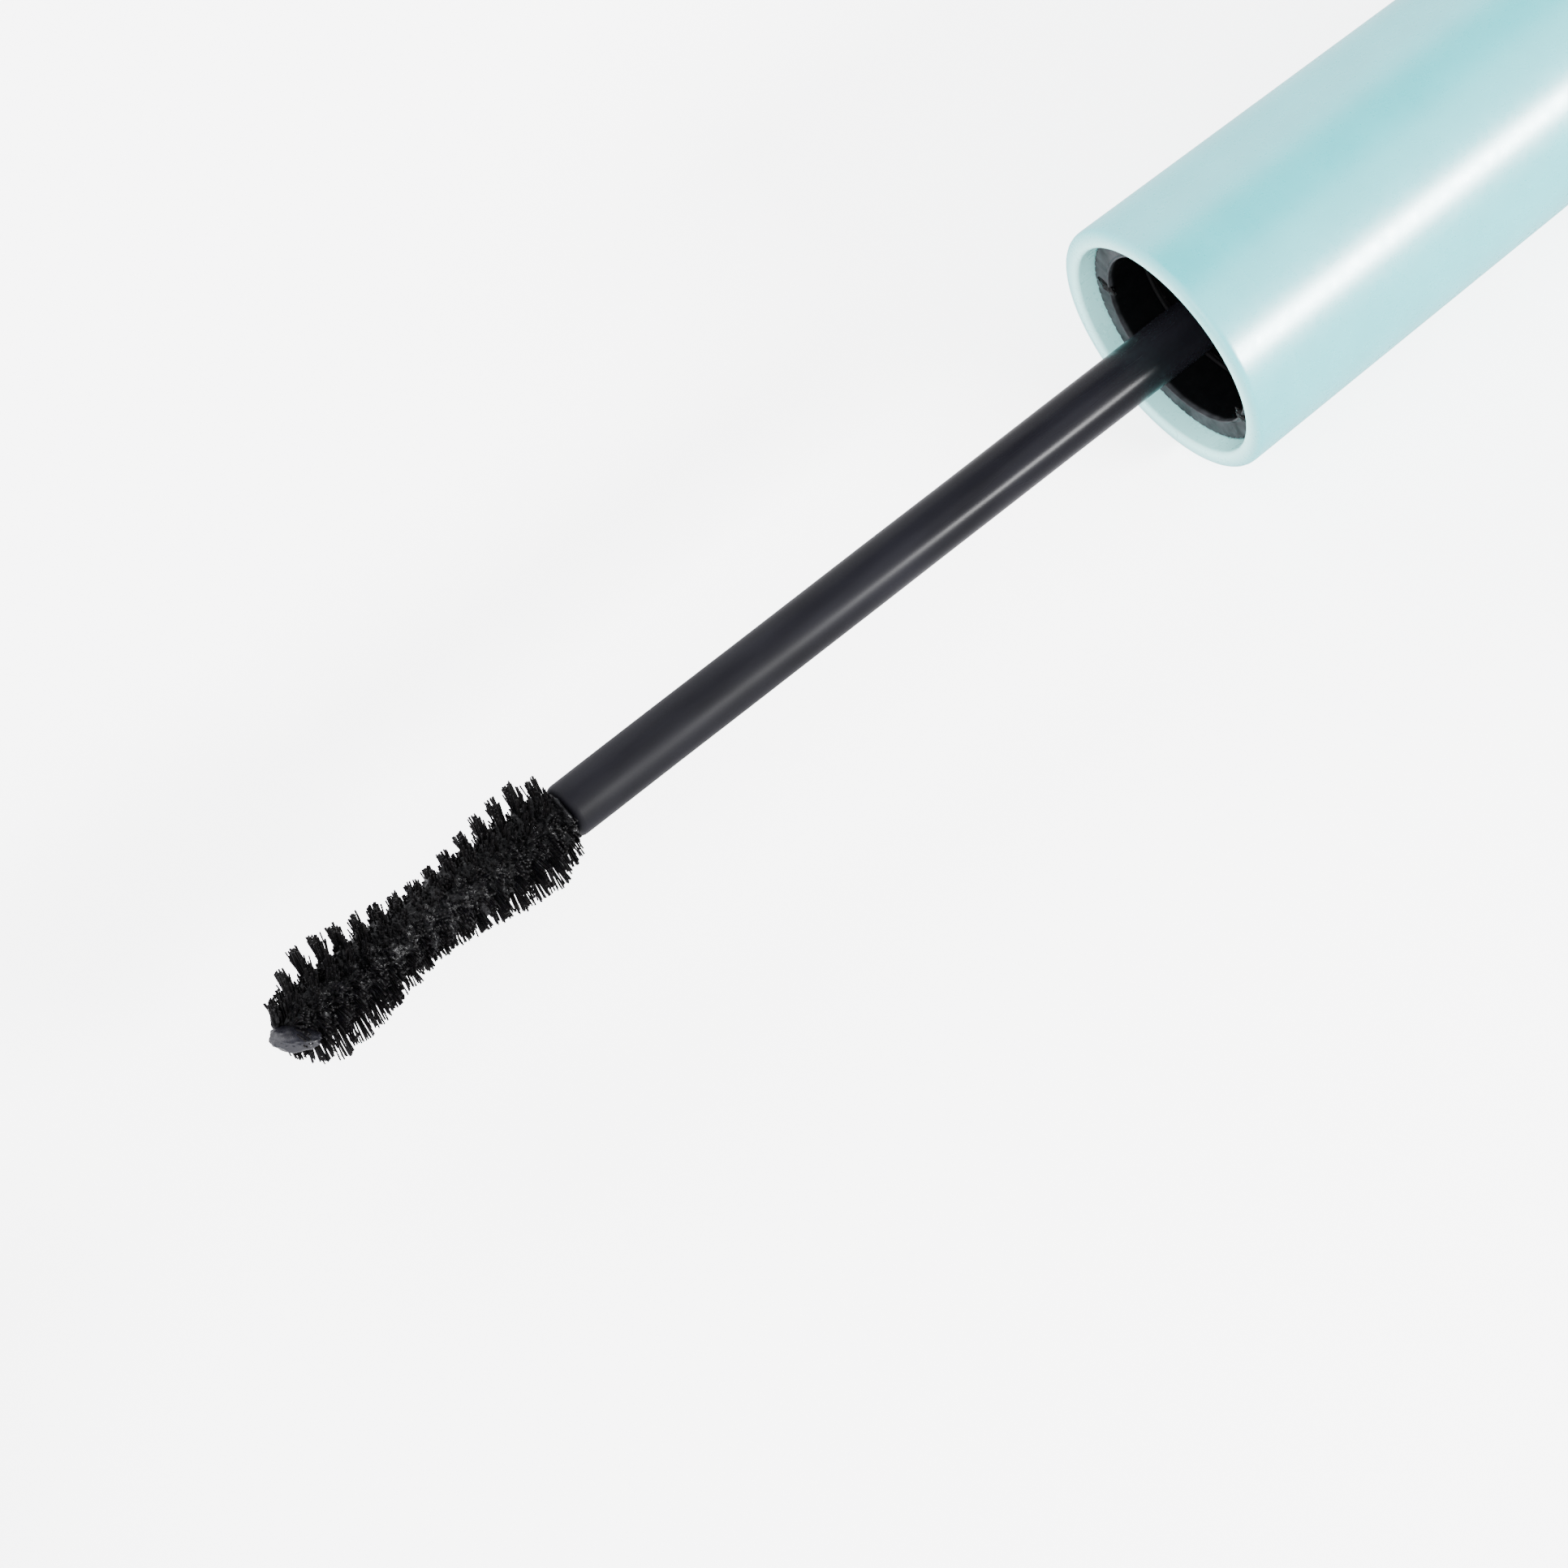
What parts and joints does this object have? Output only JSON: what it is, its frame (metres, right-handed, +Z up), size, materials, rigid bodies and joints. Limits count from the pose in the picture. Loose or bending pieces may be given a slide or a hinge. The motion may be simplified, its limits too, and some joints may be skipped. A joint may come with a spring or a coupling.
{
  "type": "mascara tube",
  "caption": "Mascara pack lying open: an aqua bottle with a threaded neck, and its screw cap with a wand and a waisted brush.",
  "frame": {"origin": "on the surface that the pack lies on, halfway between the bottle's base and the cap's closed end", "axes": "+X along the pack from the bottle to the cap, +Z up"},
  "size_m": [0.2438, 0.018, 0.018],
  "materials": {
    "aqua_plastic": "satin moulded polypropylene, aqua",
    "black_plastic": "satin moulded, near black",
    "wiper_plastic": "soft low density polyethylene, dark grey",
    "gasket_foam": "pressed polyethylene foam, off white",
    "wire_steel": "drawn stainless wire",
    "bristle_nylon": "black nylon fibres with a wet black residue"
  },
  "bodies": {
    "bottle": {"bottle_shell": "aqua_plastic", "inner_vial": "black_plastic", "neck_wiper": "wiper_plastic"},
    "gasket": {"cap_gasket": "gasket_foam"},
    "applicator": {"cap_shell": "aqua_plastic", "inner_cap": "black_plastic", "wand_stem": "black_plastic", "brush_wire": "wire_steel", "bristle_pack": "bristle_nylon"}
  },
  "joints": [
    {"name": "applicator_slide", "type": "slide", "parent": "bottle", "child": "gasket", "axis": [-1, 0, 0], "range_m": [0, 0.11365], "deforming": ["bristle_pack"]},
    {"name": "cap_twist", "type": "hinge", "parent": "gasket", "child": "applicator", "pos_m": [0.0669, 0, 0.00898], "axis": [1, 0, 0], "range_deg": [-540, 0]}
  ]
}
